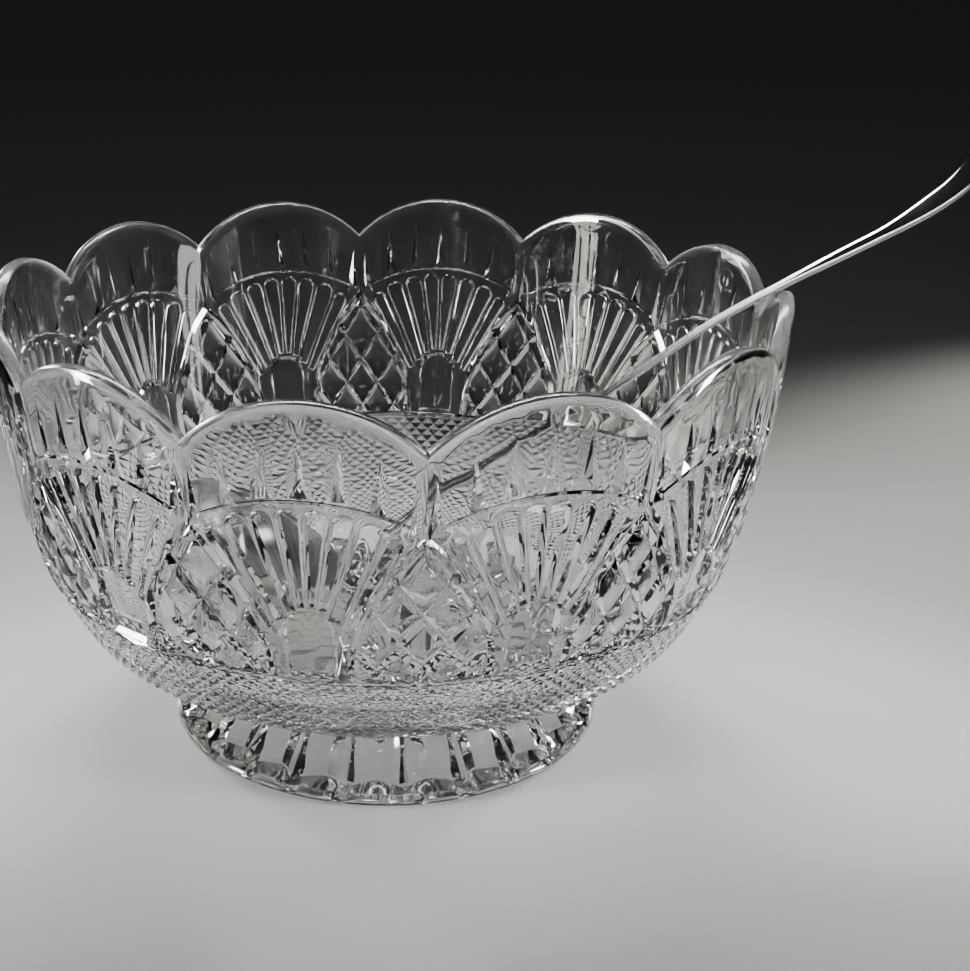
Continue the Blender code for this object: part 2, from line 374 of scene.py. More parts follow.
class Flute:
    """A round-headed hollow between two ribs of the fan; the ribs are left standing as beads."""

    # Profile of a rib's side as (share of the way into the hollow, share of its depth).
    SHOULDER = ((0.0, 0.0), (0.25, 0.05), (0.5, 0.22), (0.75, 0.54), (1.0, 1.0))
    FOOT_STEEPNESS = 1.6
    HEAD_STEPS = 8

    def __init__(self, low_left, low_right, high_left, high_right, depth, bead):
        self.low = ((low_left[0] + low_right[0]) / 2.0, (low_left[1] + low_right[1]) / 2.0)
        self.high = ((high_left[0] + high_right[0]) / 2.0, (high_left[1] + high_right[1]) / 2.0)
        self.length = math.dist(self.low, self.high)
        self.ux = (self.high[0] - self.low[0]) / self.length
        self.uy = (self.high[1] - self.low[1]) / self.length
        self.half_low = math.dist(low_left, low_right) / 2.0
        self.half_high = math.dist(high_left, high_right) / 2.0
        self.depth, self.bead = depth, bead
        self.head = self.length - self.half_high

    def half(self, along):
        return self.half_low + (self.half_high - self.half_low) * along / self.length

    def inside(self, x, y):
        """Distance in from the hollow's outline, negative outside."""
        dx, dy = x - self.low[0], y - self.low[1]
        along = dx * self.ux + dy * self.uy
        aside = abs(dx * self.uy - dy * self.ux)
        if along > self.head:
            return self.half(self.head) - math.hypot(aside, along - self.head)
        return min(self.half(along) - aside, along * self.FOOT_STEEPNESS)

    def sunk(self, x, y):
        share = clamp(self.inside(x, y) / self.bead)
        for (start, first), (end, last) in zip(self.SHOULDER, self.SHOULDER[1:]):
            if share <= end:
                return self.depth * (first + (last - first) * (share - start) / (end - start))
        return self.depth

    def world(self, along, aside):
        return (self.low[0] + self.ux * along + self.uy * aside,
                self.low[1] + self.uy * along - self.ux * aside)

    def outline(self, inset):
        foot = inset / self.FOOT_STEEPNESS
        radius = self.half(self.head) - inset
        right = [self.world(foot, self.half(foot) - inset),
                 self.world(self.head * 0.5, self.half(self.head * 0.5) - inset)]
        left = [self.world(self.head * 0.5, inset - self.half(self.head * 0.5)),
                self.world(foot, inset - self.half(foot))]
        angles = [math.pi * i / self.HEAD_STEPS for i in range(self.HEAD_STEPS + 1)]
        arch = [self.world(self.head + radius * math.sin(angle), radius * math.cos(angle))
                for angle in angles]
        points = right + arch + left
        return list(zip(points, points[1:] + points[:1]))

    def creases(self):
        return [line for share, _ in self.SHOULDER for line in self.outline(share * self.bead)]


class Window:
    """The round-headed panel under the fan: a flat sunk field inside a bevel."""

    HEAD_STEPS = 6

    def __init__(self, half, top, bottom, bevel, depth):
        self.half, self.top, self.bottom, self.bevel, self.depth = half, top, bottom, bevel, depth

    def inside(self, x, y):
        """Distance in from the panel's outline, negative outside."""
        head = self.top - self.half
        if y > head:
            return self.half - math.hypot(x, y - head)
        return min(self.half - abs(x), y - self.bottom)

    def sunk(self, x, y):
        return self.depth * clamp(self.inside(x, y) / self.bevel)

    def outline(self, inset):
        half = self.half - inset
        head = self.top - self.half
        points = [(0.0, self.bottom + inset), (half, self.bottom + inset), (half, head)]
        points += [(half * math.cos(a), head + half * math.sin(a))
                   for a in (math.pi / 2.0 * i / self.HEAD_STEPS for i in range(1, self.HEAD_STEPS + 1))]
        return list(zip(points, points[1:]))

    def creases(self):
        return self.outline(0.0) + self.outline(self.bevel)


class Lattice:
    """Four-sided points between two families of slanting cuts, each with an optional deeper vein."""

    def __init__(self, origin, width, tall, depth, contains, box, vein=0.0, vein_depth=0.0):
        self.origin, self.width, self.tall, self.depth = origin, width, tall, depth
        self.contains, self.box = contains, box
        self.vein, self.vein_depth = vein, vein_depth

    def sunk(self, x, y):
        if not self.contains(x, y):
            return 0.0
        u = (x - self.origin[0]) / self.width
        v = (y - self.origin[1]) / self.tall
        first = abs((u + v + 0.5) % 1.0 - 0.5) * 2.0
        second = abs((u - v + 0.5) % 1.0 - 0.5) * 2.0
        away = min(first, second)
        sunk = self.depth * (1.0 - away)
        if self.vein and away < self.vein:
            sunk += self.vein_depth * (1.0 - away / self.vein)
        return sunk

    def creases(self):
        """Cut lines and the ridges between them, cropped to the lattice's own field."""
        (x0, y0), (x1, y1) = self.box
        lines = []
        reach = int((x1 - x0) / self.width + (y1 - y0) / self.tall) + 3
        base_u = (x0 - self.origin[0]) / self.width
        base_v = (y0 - self.origin[1]) / self.tall
        for n in range(-reach * 2, reach * 2 + 1):
            offsets = (-self.vein / 2.0, 0.0, self.vein / 2.0) if self.vein else (0.0,)
            for offset in offsets:
                plus = round(base_u + base_v) + n + offset
                minus = round(base_u - base_v) + n + offset
                lines += self.crop(lambda t, k=plus: (
                    self.origin[0] + t * self.width, self.origin[1] + (k - t) * self.tall))
                lines += self.crop(lambda t, k=minus: (
                    self.origin[0] + t * self.width, self.origin[1] + (t - k) * self.tall))
            level = round(base_v * 2.0) / 2.0 + n / 2.0
            lines += self.crop(lambda t, k=level: (
                self.origin[0] + t * self.width, self.origin[1] + k * self.tall))
            upright = round(base_u * 2.0) / 2.0 + n / 2.0
            lines += self.crop(lambda t, k=upright: (
                self.origin[0] + k * self.width, self.origin[1] + t * self.tall))
        return lines

    def crop(self, line):
        """Half-cell pieces of a line that lie inside the field."""
        (x0, y0), (x1, y1) = self.box
        span = int((x1 - x0) / self.width + (y1 - y0) / self.tall) + 3
        start_t = math.floor(min((x0 - self.origin[0]) / self.width,
                                 (y0 - self.origin[1]) / self.tall)) - 1
        kept = []
        for step in range(0, (span + 4) * 2 * 2):
            a = line(start_t + step / 2.0)
            b = line(start_t + (step + 1) / 2.0)
            middle = ((a[0] + b[0]) / 2.0, (a[1] + b[1]) / 2.0)
            if self.contains(*a) and self.contains(*b) and self.contains(*middle):
                kept.append((a, b))
            elif self.contains(*a) or self.contains(*b) or self.contains(*middle):
                kept += self.crop_piece(a, b)
        return kept

    def crop_piece(self, a, b, parts=16):
        points = [(a[0] + (b[0] - a[0]) * i / parts, a[1] + (b[1] - a[1]) * i / parts)
                  for i in range(parts + 1)]
        held = [point for point in points if self.contains(*point)]
        if len(held) < 2:
            return []
        return [(held[0], held[-1])]


def rib_line(index):
    """Foot and top of a rib; rib 0 runs up the lobe's middle."""
    foot = (RIB_FOOT_PITCH * index, RIB_FOOT_RISE - RIB_FOOT_DROP * index * index)
    top_across = RIB_TOP_PITCH * index
    reach = math.sqrt((FAN_REACH - RIB_TOP_INSET) ** 2 - top_across ** 2)
    return foot, (top_across, FAN_FOOT + reach - RIB_TOP_DROP * index)


def fan_hollows():
    corners = []
    for index in range(RIBS - 1):
        low_left, high_left = rib_line(index)
        low_right, high_right = rib_line(index + 1)
        corners.append((low_left, low_right, high_left, high_right))
    corners.append(OUTER_HOLLOW)
    return [Flute(*four, HOLLOW_DEPTH, HOLLOW_BEAD) for four in corners]


def fan_arc():
    steps = 9
    angles = [math.radians(ARC_END * i / steps) for i in range(steps + 1)]
    points = [(FAN_REACH * math.sin(angle), FAN_FOOT + FAN_REACH * math.cos(angle)) for angle in angles]
    return Groove(points, ARC_HALF, ARC_DEPTH)


def dart(index):
    """One dart above the arc; dart 0 stands at the lobe's middle."""
    drop = DART_DROP[0] * index ** 2 + DART_DROP[1] * index ** 3
    lean = LAST_DART_LEAN * (index == DARTS - 1)
    foot = (DART_FOOT_PITCH * index, DART_FOOT_RISE - drop)
    tip = (DART_TIP_PITCH * index - lean, DART_TIP_RISE - drop * DART_TIP_DROP)
    return Dart(foot, tip, DART_HALF, DART_DEPTH)


def arch_side():
    steps = 12
    spring, apex = ARCH_SPRING[1], ARCH_APEX[1]
    rises = [spring + (apex - spring) * i / steps for i in range(steps + 1)]
    points = [(ARCH_SPRING[0], RING_RISE)] + [(arch_across(rise), rise) for rise in rises]
    return Groove(points, ARCH_HALF, ARCH_DEPTH)


def arch_lattice():
    def in_arch(x, y):
        if not RING_RISE + RING_HALF < y < ARCH_APEX[1]:
            return False
        return arch_across(y) + LATTICE_INSET < x <= HALF_LOBE + 1e-9

    return Lattice((HALF_LOBE, LATTICE_RISE), LATTICE_WIDTH, LATTICE_TALL, LATTICE_DEPTH, in_arch,
                   ((ARCH_SPRING[0], RING_RISE), ARCH_APEX), LATTICE_VEIN, LATTICE_VEIN_DEPTH)


def hobnail_band():
    def in_band(x, y):
        return -1e-9 <= x <= HALF_LOBE + 1e-9 and HOBNAIL_RISE < y < RING_RISE - RING_HALF

    return Lattice((0.0, HOBNAIL_RISE), HOBNAIL, HOBNAIL, HOBNAIL_DEPTH, in_band,
                   ((0.0, HOBNAIL_RISE), (HALF_LOBE, RING_RISE)))


def cut_features():
    """Every cut of half a lobe."""
    features = fan_hollows() + [fan_arc()] + [dart(index) for index in range(DARTS)]
    features.append(Window(WINDOW_HALF, WINDOW_TOP, WINDOW_BOTTOM, WINDOW_BEVEL, WINDOW_DEPTH))
    features.append(arch_side())
    features.append(Groove([(0.0, RING_RISE), (HALF_LOBE, RING_RISE)], RING_HALF, RING_DEPTH))
    features += [arch_lattice(), hobnail_band()]
    return features


def depth_at(features, x, y):
    """How deep the wall is cut at one place; cuts shrink with the wall's radius."""
    sunk = max(feature.sunk(x, y) for feature in features)
    return sunk * WALL.radius(y) / RIM_RADIUS


def clip_to_half_lobe(line):
    """Part of a crease between the lobe's middle and the notch, or None."""
    (ax, ay), (bx, by) = line
    if ax > bx:
        ax, ay, bx, by = bx, by, ax, ay
    if bx < 0.0 or ax > HALF_LOBE:
        return None
    if ax < 0.0:
        ay += (by - ay) * (0.0 - ax) / (bx - ax)
        ax = 0.0
    if bx > HALF_LOBE:
        by = ay + (by - ay) * (HALF_LOBE - ax) / (bx - ax)
        bx = HALF_LOBE
    if math.hypot(bx - ax, by - ay) < SHORTEST_CREASE:
        return None
    return (ax, ay), (bx, by)


def half_lobe_mesh():
    """Triangles of half a lobe whose edges follow every crease of the cutting."""
    features = cut_features()
    acrosses = [HALF_LOBE * i / (COLUMNS // 2) for i in range(COLUMNS // 2 + 1)]
    bottom = [(across, 0.0) for across in acrosses]
    top = [(across, WALL.rise_at_height(rim_height(across) - EDGE_LIP)) for across in acrosses]
    points = [Vector(point) for point in bottom + top[::-1]]
    border = list(range(len(points)))

    edges = []
    for feature in features:
        for line in feature.creases():
            clipped = clip_to_half_lobe(line)
            if clipped:
                edges.append((len(points), len(points) + 1))
                points += [Vector(clipped[0]), Vector(clipped[1])]
    # A loose grid keeps the plain areas on the wall's curve.
    for row in range(1, int(GRID_HIGHEST / GRID_SPACING)):
        rise = row * GRID_SPACING
        for column in range(1, GRID_COLUMNS):
            across = HALF_LOBE * column / GRID_COLUMNS
            if rise < WALL.rise_at_height(rim_height(across)) - GRID_MARGIN:
                points.append(Vector((across, rise)))
    made = delaunay_2d_cdt(points, edges, [border], 1, SHORTEST_CREASE)
    flat, faces = made[0], made[2]
    spots = []
    for point in flat:
        across = min(max(point[0], 0.0), HALF_LOBE)
        if across < SIDE_SNAP:
            across = 0.0
        if HALF_LOBE - across < SIDE_SNAP:
            across = HALF_LOBE
        spots.append((across, point[1], depth_at(features, across, point[1])))
    # A triangle that lies along a side line has no area once both halves are joined.
    kept = [tuple(face) for face in faces
            if len({spots[index][0] for index in face}) > 1 or 0.0 < spots[face[0]][0] < HALF_LOBE]
    return spots, kept


# --- The crystal bowl ------------------------------------------------------------------

CRYSTAL_IOR = 1.54
CRYSTAL_CREASE = 27.0
GROUND_ROUGHNESS = 0.20
RIM_GROUND_DEPTH = 0.0007
STAND_GROUND_HEIGHT = 0.0005
STAND_GROUND_SHARE = 0.3


def foot_flute(angle):
    """0 on the crest of a rib of the foot, 1 in the hollow between two ribs."""
    share = abs((angle * FLUTES / math.tau + 0.5) % 1.0 - 0.5) * 2.0
    bead = min(1.0, share / FOOT_BEAD)
    return BEAD_SHARE * bead ** 2 + (1.0 - BEAD_SHARE) * (1.0 - (1.0 - share) ** 2)


def star_ray(angle):
    """1 on the keel of a ray of the star under the foot, 0 between rays."""
    share = (angle * FLUTES / math.tau) % 1.0
    return abs(share - 0.5) * 2.0


def grid_rings(rings, closed_centre=None):
    """Quads between rings of points round the axis, and a fan to the centre if there is one."""
    count = len(rings[0])
    points = [point for ring in rings for point in ring]
    faces = []
    for level in range(len(rings) - 1):
        for index in range(count):
            after = (index + 1) % count
            faces.append((level * count + index, level * count + after,
                          (level + 1) * count + after, (level + 1) * count + index))
    if closed_centre is not None:
        hub = len(points)
        points.append(closed_centre)
        last = (len(rings) - 1) * count
        for index in range(count):
            faces.append((last + index, last + (index + 1) % count, hub))
    return points, faces


def around(radius, angle, height):
    """Point at an angle round the bowl's axis."""
    return (radius * math.cos(angle), radius * math.sin(angle), height)


def lobe_across(angle):
    return angle % LOBE_PITCH - HALF_LOBE


def cut_wall():
    """The outer wall: half a lobe, mirrored and repeated round the bowl."""
    spots, triangles = half_lobe_mesh()
    points = []
    faces = []
    for half in range(LOBES * 2):
        mirrored = half % 2 == 1
        middle = LOBE_PITCH * (half // 2 + 0.5)
        side = -1.0 if mirrored else 1.0
        base = len(points)
        points += [WALL.place(middle + side * across, rise, sunk) for across, rise, sunk in spots]
        for face in triangles:
            ordered = face[::-1] if mirrored else face
            faces.append(tuple(base + index for index in ordered))
    return points, faces


def rim_rings(angles):
    """Rings over the rim, from the top of the cut wall over a rounded edge to the inside."""
    rings = [[] for _ in range(7)]
    for angle in angles:
        top = rim_height(lobe_across(angle))
        start = WALL.place(angle, WALL.rise_at_height(top - EDGE_LIP), 0.0)
        outer = math.hypot(start[0], start[1])
        inner = outer - RIM_THICKNESS
        shape = [(outer - step, top - drop) for step, drop in RIM_ROUND]
        shape.append(((outer + inner) / 2.0, top))
        shape += [(inner + step, top - drop) for step, drop in RIM_ROUND[::-1]]
        shape.append((inner, top - EDGE_LIP))
        rings[0].append(start)
        for ring, (radius, height) in zip(rings[1:], shape):
            ring.append(around(radius, angle, height))
    return rings


def inside_rings(rim_ring, angles):
    """Smooth rings from the rim's inner edge down to the floor."""
    curve = smooth_curve([(r * RIM_RADIUS, z * RIM_RADIUS) for r, z in INNER_OUTLINE])
    radii = [radius for radius, _ in curve][::-1]
    heights = [height for _, height in curve][::-1]
    rings = [rim_ring]
    for share in SCALLOPED_SHARES:
        ring = []
        for angle, (x, y, rim_z) in zip(angles, rim_ring):
            height = rim_z + (LEVEL_INSIDE - rim_z) * share
            off_curve = math.hypot(x, y) - lookup(heights, radii, rim_z)
            radius = lookup(heights, radii, height) + off_curve * (1.0 - share) ** 2
            ring.append(around(radius, angle, height))
        rings.append(ring)
    lower = [(r, z) for r, z in curve if z < LEVEL_INSIDE - 0.002 and r > INSIDE_HUB]
    for radius, height in lower[::3]:
        rings.append([around(radius, angle, height) for angle in angles])
    return rings


def foot_rings(angles):
    """Rings down the fluted foot, round its lower edge and over the star cut in the recess."""
    curve = smooth_curve([(r * RIM_RADIUS, z * RIM_RADIUS) for r, z in FOOT_OUTLINE], per_span=4)
    rings = []
    for radius, height in curve:
        above = clamp((height - PLAIN_BAND) / PLAIN_BAND_FADE)
        below = clamp((WAIST_HEIGHT - height) / WAIST_FADE)
        rings.append([around(radius - FLUTE_DEPTH * foot_flute(angle) * above * below, angle, height)
                      for angle in angles])
    for inset, height in FOOT_EDGE:
        rings.append([around(FOOT_RADIUS - inset, angle, height) for angle in angles])
    recess_edge = FOOT_RADIUS - STAND_RING_WIDTH
    for share, height in RECESS:
        side_cut = RAY_SIDE * clamp((share - RAY_SIDE_FROM) / RAY_SIDE_FADE)
        lift = RAY_DEPTH * clamp(min((1.0 - share) / RAY_EDGE_FADE, share / RAY_HUB_FADE))
        ring = []
        for angle in angles:
            ray = star_ray(angle)
            radius = recess_edge * share - side_cut * (1.0 - ray)
            ring.append(around(radius, angle, height + lift * ray))
        rings.append(ring)
    return rings


def bowl_shell():
    """All surfaces of the bowl as point and face lists: wall, rim, inside, foot and underside."""
    steps = LOBES * COLUMNS
    angles = [math.tau * index / steps for index in range(steps)]
    rim = rim_rings(angles)
    inside = inside_rings(rim[-1], angles)
    parts = [
        cut_wall(),
        grid_rings(rim),
        grid_rings(inside, (0.0, 0.0, INNER_OUTLINE[-1][1] * RIM_RADIUS)),
        grid_rings(foot_rings(angles), (0.0, 0.0, RECESS_HEIGHT)),
    ]
    points = []
    faces = []
    for part_points, part_faces in parts:
        start = len(points)
        points += part_points
        faces += [tuple(start + index for index in face) for face in part_faces]
    return points, faces


WELD_DISTANCE = 4e-6
NO_LENGTH = 5e-7


def mesh_piece(name, points, faces, material, sharp_degrees):
    """A new object from points and faces, smooth except along creases sharper than the limit."""
    mesh = bpy.data.meshes.new(name)
    mesh.from_pydata(points, [], faces)
    mesh.validate()
    weld_and_orient(mesh)
    mesh.shade_smooth()
    mesh.set_sharp_from_angle(angle=math.radians(sharp_degrees))
    mesh.materials.append(material)
    piece = bpy.data.objects.new(name, mesh)
    bpy.context.scene.collection.objects.link(piece)
    return piece


def weld_and_orient(mesh):
    """Join the points that meet, drop what has no area and turn all faces outwards."""
    work = bmesh.new()
    work.from_mesh(mesh)
    bmesh.ops.remove_doubles(work, verts=work.verts, dist=WELD_DISTANCE)
    bmesh.ops.dissolve_degenerate(work, edges=work.edges, dist=NO_LENGTH)
    loose = [vertex for vertex in work.verts if not vertex.link_faces]
    bmesh.ops.delete(work, geom=loose, context="VERTS")
    bmesh.ops.recalc_face_normals(work, faces=work.faces)
    work.to_mesh(mesh)
    work.free()


def ground_share(point):
    """How matt the glass is at a point: the rim's top fully, the standing ring a little, the rest not."""
    across = lobe_across(math.atan2(point.y, point.x))
    if point.z > rim_height(across) - RIM_GROUND_DEPTH:
        return 1.0
    if point.z < STAND_GROUND_HEIGHT:
        return STAND_GROUND_SHARE
    return 0.0


def mark_ground(mesh):
    marks = mesh.attributes.new("ground", "FLOAT", "POINT")
    for vertex, mark in zip(mesh.vertices, marks.data):
        mark.value = ground_share(vertex.co)


def noise_node(nodes, scale, detail):
    noise = nodes.new("ShaderNodeTexNoise")
    noise.inputs["Scale"].default_value = scale
    noise.inputs["Detail"].default_value = detail
    return noise


def tone_node(nodes, low, high):
    """Colour ramp between two (position, colour) pairs."""
    ramp = nodes.new("ShaderNodeValToRGB")
    for element, (position, colour) in zip(ramp.color_ramp.elements, (low, high)):
        element.position = position
        element.color = (*colour, 1.0)
    return ramp


def range_node(nodes, source, target):
    """Map Range node from a (low, high) source to a (low, high) target."""
    mapped = nodes.new("ShaderNodeMapRange")
    mapped.inputs["From Min"].default_value, mapped.inputs["From Max"].default_value = source
    mapped.inputs["To Min"].default_value, mapped.inputs["To Max"].default_value = target
    return mapped


def multiply_add_node(nodes, factor):
    node = nodes.new("ShaderNodeMath")
    node.operation = "MULTIPLY_ADD"
    node.inputs[1].default_value = factor
    return node


def crystal_material():
    """Clear crystal with a faint uneven tint, a thin film of handling marks and ground edges."""
    material = bpy.data.materials.new("crystal")
    material.use_nodes = True
    nodes, links = material.node_tree.nodes, material.node_tree.links
    shader = nodes["Principled BSDF"]
    shader.inputs["Transmission Weight"].default_value = 1.0
    shader.inputs["IOR"].default_value = CRYSTAL_IOR
    place = nodes.new("ShaderNodeTexCoord")
    tint_noise = noise_node(nodes, 9.0, 2.0)
    tint = tone_node(nodes, (0.35, (0.950, 0.958, 0.925)), (0.65, (0.955, 0.968, 0.985)))
    film_noise = noise_node(nodes, 35.0, 5.0)
    film = range_node(nodes, (0.4, 0.8), (0.008, 0.05))
    ground = nodes.new("ShaderNodeAttribute")
    ground.attribute_name = "ground"
    matt = multiply_add_node(nodes, GROUND_ROUGHNESS)
    links.new(place.outputs["Object"], tint_noise.inputs["Vector"])
    links.new(place.outputs["Object"], film_noise.inputs["Vector"])
    links.new(tint_noise.outputs["Fac"], tint.inputs["Fac"])
    links.new(tint.outputs["Color"], shader.inputs["Base Color"])
    links.new(film_noise.outputs["Fac"], film.inputs["Value"])
    links.new(ground.outputs["Fac"], matt.inputs[0])
    links.new(film.outputs["Result"], matt.inputs[2])
    links.new(matt.outputs["Value"], shader.inputs["Roughness"])
    return material


def build_bowl():
    points, faces = bowl_shell()
    bowl = mesh_piece("cut_crystal_bowl", points, faces, crystal_material(), CRYSTAL_CREASE)
    mark_ground(bowl.data)
    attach(bowl, "bowl")
    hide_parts("crystal_bowl")


# --- The ladle -------------------------------------------------------------------------
# The cup is a cap of a ball; the handle's root runs round that ball and then out over the notch.

CUP_RADIUS = 0.0380
CUP_DEPTH = 0.0330
CUP_WALL = 0.0014
CUP_TILT = math.radians(28.0)
CUP_BALL = (CUP_RADIUS ** 2 + CUP_DEPTH ** 2) / (2.0 * CUP_DEPTH)
LIP_ANGLE = math.acos(1.0 - CUP_DEPTH / CUP_BALL)
ROOT_DROP = 0.0140
ROOT_ANGLE = math.acos(1.0 + (ROOT_DROP - CUP_DEPTH) / CUP_BALL)
GAP = 0.0003
HANDLE_AT_NOTCH = Vector((0.1474, 0.0, 0.1690))
NOTCH_RUN = 0.2024
# Run along the handle from the cup's lip in metres, then slope in degrees or size in metres.
HANDLE_SLOPE = [(0.020, 35.0), (0.166, 35.0), (0.198, 28.0), (0.250, 26.3), (0.282, 37.3), (0.308, 64.0)]
HANDLE_WIDTH = [(-0.016, 0.0120), (0.000, 0.0105), (0.020, 0.0062), (0.100, 0.0050), (0.200, 0.0054),
                (0.250, 0.0105), (0.282, 0.0180), (0.308, 0.0215)]
HANDLE_THICKNESS = [(0.000, 0.0016), (0.015, 0.0020), (0.200, 0.0019), (0.308, 0.0016)]
HANDLE_RUN = HANDLE_SLOPE[-1][0]
HANDLE_STEPS = 2000
HANDLE_STATIONS = 150
# Stations crowd a little towards the tip, where the strip bends and widens.
STATION_CROWDING = 0.35
# Rounded beads run along both edges of the strip, with a dished channel between them on top.
HANDLE_BEAD = 0.0011
BEAD_LIMIT = 0.45
CHANNEL_SHARE = 0.42
CHANNEL_START = -0.004
CHANNEL_FADE = 0.02
# Below the lip the strip's underside is lowered by this much, so that it meets the cup's skin.
ROOT_FILL = GAP + 0.00005
ROOT_FILL_FADE = 0.003
TIP_ROUND_LENGTH = 0.0100
TIP_ROUND_SHARE = 0.88
CUP_BANDS = 30
CUP_STEPS = 96
LIP_DROP = 0.0009
LIP_BULGE = 0.00025
LIP_FROM = -30.0
LIP_TURN = 240.0
LIP_STEPS = 8
# Skin bands that the rolled lip takes the place of.
LIP_BANDS = 2
STEEL_CREASE = 40.0


def interpolate(table, position, eased=True):
    """Read a (position, value) table, easing each step unless eased is off."""
    if position <= table[0][0]:
        return table[0][1]
    for (start, first), (end, last) in zip(table, table[1:]):
        if position <= end:
            share = (position - start) / (end - start)
            if eased:
                share = share * share * (3.0 - 2.0 * share)
            return first + (last - first) * share
    return table[-1][1]


ROOT_CARRIER = CUP_BALL + GAP + interpolate(HANDLE_THICKNESS, 0.0) / 2.0


def handle_path():
    """Centre line of the handle in the XZ plane as (run, point, tangent) rows; run is 0 at the lip."""
    root = ROOT_CARRIER * (LIP_ANGLE - ROOT_ANGLE)
    slopes = [(-root, math.degrees(ROOT_ANGLE - CUP_TILT)),
              (0.0, math.degrees(LIP_ANGLE - CUP_TILT))] + HANDLE_SLOPE
    step = (root + HANDLE_RUN) / HANDLE_STEPS
    position = Vector((0.0, 0.0, 0.0))
    rows = []
    for index in range(HANDLE_STEPS + 1):
        run = index * step - root
        slope = math.radians(interpolate(slopes, run, eased=False))
        tangent = Vector((math.cos(slope), 0.0, math.sin(slope)))
        rows.append((run, position.copy(), tangent))
        position += tangent * step
    shift = HANDLE_AT_NOTCH - rows[round((root + NOTCH_RUN) / step)][1]
    return [(run, point + shift, tangent) for run, point, tangent in rows]


def handle_width(run):
    """Strip width, rounded off to a blunt end at the tip."""
    width = interpolate(HANDLE_WIDTH, run)
    left = HANDLE_RUN - run
    if left < TIP_ROUND_LENGTH:
        share = 1.0 - left / TIP_ROUND_LENGTH
        width *= math.sqrt(max(0.0, 1.0 - TIP_ROUND_SHARE * share * share))
    return width


def handle_section(half_width, half_thick, bead, channel, root_fill):
    """Outline of the strip, anticlockwise seen along the handle: beaded edges and a dished top."""
    right = []
    for step in range(7):
        angle = -math.pi / 2.0 + math.pi * step / 6
        right.append((half_width - half_thick + half_thick * math.cos(angle), half_thick * math.sin(angle)))
    inner_edge = half_width - half_thick - bead
    top = [(inner_edge + bead * 0.5, half_thick - channel * 0.25), (inner_edge, half_thick - channel * 0.8)]
    for step in range(1, 4):
        side = inner_edge * (1.0 - step / 4)
        top.append((side, half_thick - channel * (1.0 + 0.25 * step / 4)))
    middle = [(0.0, half_thick - channel * 1.28)]
    above = right + top
    outline = above + middle + [(-side, lift) for side, lift in above[::-1]]
    outline.append((0.0, -half_thick))
    return [(side, lift - (root_fill if lift < -half_thick * 0.3 else 0.0)) for side, lift in outline]


def build_handle(path):
    points = []
    sections = []
    for index in range(HANDLE_STATIONS + 1):
        share = index / HANDLE_STATIONS
        share += STATION_CROWDING * share * (1.0 - share)
        run, point, tangent = path[round(share * (len(path) - 1))]
        normal = Vector((-tangent.z, 0.0, tangent.x))
        half_width = handle_width(run) / 2.0
        half_thick = interpolate(HANDLE_THICKNESS, run) / 2.0
        bead = min(HANDLE_BEAD, (half_width - half_thick) * BEAD_LIMIT)
        channel = half_thick * CHANNEL_SHARE * clamp((run - CHANNEL_START) / CHANNEL_FADE)
        root_fill = ROOT_FILL * clamp(-run / ROOT_FILL_FADE)
        section = handle_section(half_width, half_thick, bead, channel, root_fill)
        start = len(points)
        points += [point + normal * lift + Vector((0.0, side, 0.0)) for side, lift in section]
        sections.append(list(range(start, len(points))))
    faces = []
    for before, after in zip(sections, sections[1:]):
        for index in range(len(before)):
            other = (index + 1) % len(before)
            faces.append((before[index], before[other], after[other], after[index]))
    faces.append(tuple(sections[0]))
    faces.append(tuple(sections[-1]))
    handle = mesh_piece("ladle_handle_strip", points, faces, steel_material("handle_steel", 0.05, 0.14),
                        STEEL_CREASE)
    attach(handle, "ladle")
    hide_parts("ladle_handle")


def cup_frame(path):
    """Centre of the cup's lip, its axis and its outward direction."""
    axis = Vector((math.sin(CUP_TILT), 0.0, math.cos(CUP_TILT)))
    outward = Vector((math.cos(CUP_TILT), 0.0, -math.sin(CUP_TILT)))
    toward_root = outward * math.sin(ROOT_ANGLE) - axis * math.cos(ROOT_ANGLE)
    ball_centre = path[0][1] - ROOT_CARRIER * toward_root
    return ball_centre - axis * (CUP_BALL - CUP_DEPTH), axis, outward


def cup_profile():
    """The cup's skins from the middle underneath, over the rolled lip, to the middle inside."""
    outer = []
    inner = []
    for index in range(1, CUP_BANDS + 1):
        angle = LIP_ANGLE * index / CUP_BANDS
        for skin, radius in ((outer, CUP_BALL), (inner, CUP_BALL - CUP_WALL)):
            skin.append((radius * math.sin(angle), CUP_BALL - CUP_DEPTH - radius * math.cos(angle)))
    lip_radius = (outer[-1][0] + inner[-1][0]) / 2.0
    roll = CUP_WALL / 2.0 + LIP_BULGE
    lip = []
    for step in range(LIP_STEPS + 1):
        angle = math.radians(LIP_FROM + LIP_TURN * step / LIP_STEPS)
        lip.append((lip_radius + roll * math.cos(angle), -LIP_DROP + roll * math.sin(angle)))
    return outer[:-LIP_BANDS] + lip + inner[:-LIP_BANDS][::-1]


